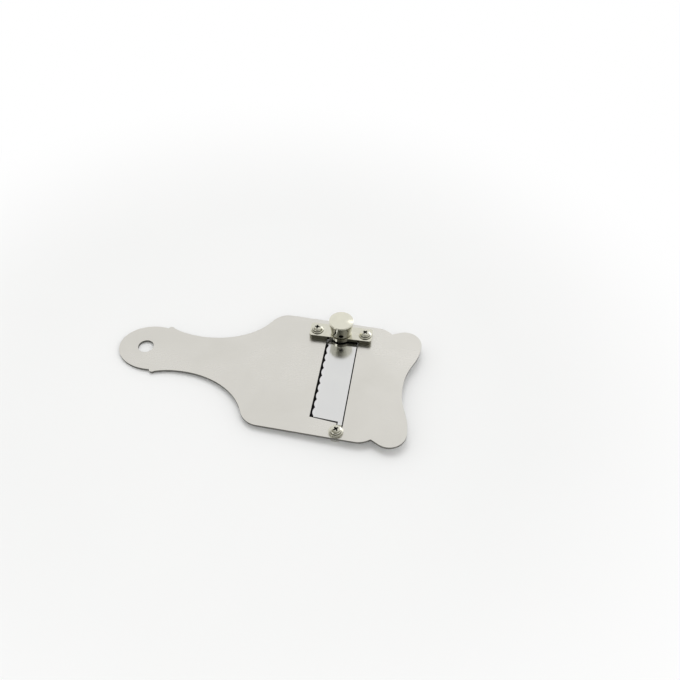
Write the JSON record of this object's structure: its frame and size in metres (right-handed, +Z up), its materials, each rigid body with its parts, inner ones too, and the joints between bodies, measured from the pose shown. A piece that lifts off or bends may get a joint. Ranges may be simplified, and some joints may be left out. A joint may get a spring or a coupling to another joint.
{
  "type": "truffle slicer",
  "caption": "Flat steel truffle slicer with a hang-hole handle, lobed end and scalloped blade in a skewed window, set by a thumb knob on a bridge.",
  "frame": {"origin": "centre of the bounding box's bottom: under the middle of the plate's length and width, on the plane that the three nuts stand on", "axes": "+X from the handle's tip to the lobed end, +Y towards the knob and bridge, +Z up out of the face that carries the knob"},
  "size_m": [0.185, 0.087, 0.019],
  "materials": {
    "satin_steel": "satin, fine grain, warm grey",
    "polished_steel": "polished, near mirror",
    "nickel_plate": "bright nickel plate, slightly warm",
    "plain_steel": "plain zinc-bright steel"
  },
  "bodies": {
    "plate": {"plate": "satin_steel", "bridge": "nickel_plate", "bridge_screw_left": "nickel_plate", "bridge_screw_right": "nickel_plate", "bridge_nut_left": "plain_steel", "bridge_nut_right": "plain_steel", "blade_screw": "nickel_plate", "blade_washer": "nickel_plate", "blade_nut": "plain_steel"},
    "lift": {"retaining_washer": "plain_steel"},
    "thumb_screw": {"knob": "nickel_plate", "stud": "plain_steel"},
    "blade": {"blade": "polished_steel"}
  },
  "joints": [
    {"name": "screw_lift", "type": "slide", "parent": "plate", "child": "lift", "axis": [0, 0, 1], "range_m": [-0.00035, 0.0007]},
    {"name": "knob_turn", "type": "hinge", "parent": "lift", "child": "thumb_screw", "pos_m": [0.04165, 0.0328, 0.0081], "axis": [0, 0, 1], "range_deg": [-180, 360]},
    {"name": "blade_tilt", "type": "hinge", "parent": "plate", "child": "blade", "pos_m": [0.05302, -0.03909, 0.00265], "axis": [0.9991, 0.0419, 0], "range_deg": [-0.2778, 0.555]}
  ],
  "couplings": [
    {"joint": "knob_turn", "follows": "screw_lift", "rad_per_m": 8975.9},
    {"joint": "blade_tilt", "follows": "screw_lift", "rad_per_m": 13.83}
  ]
}
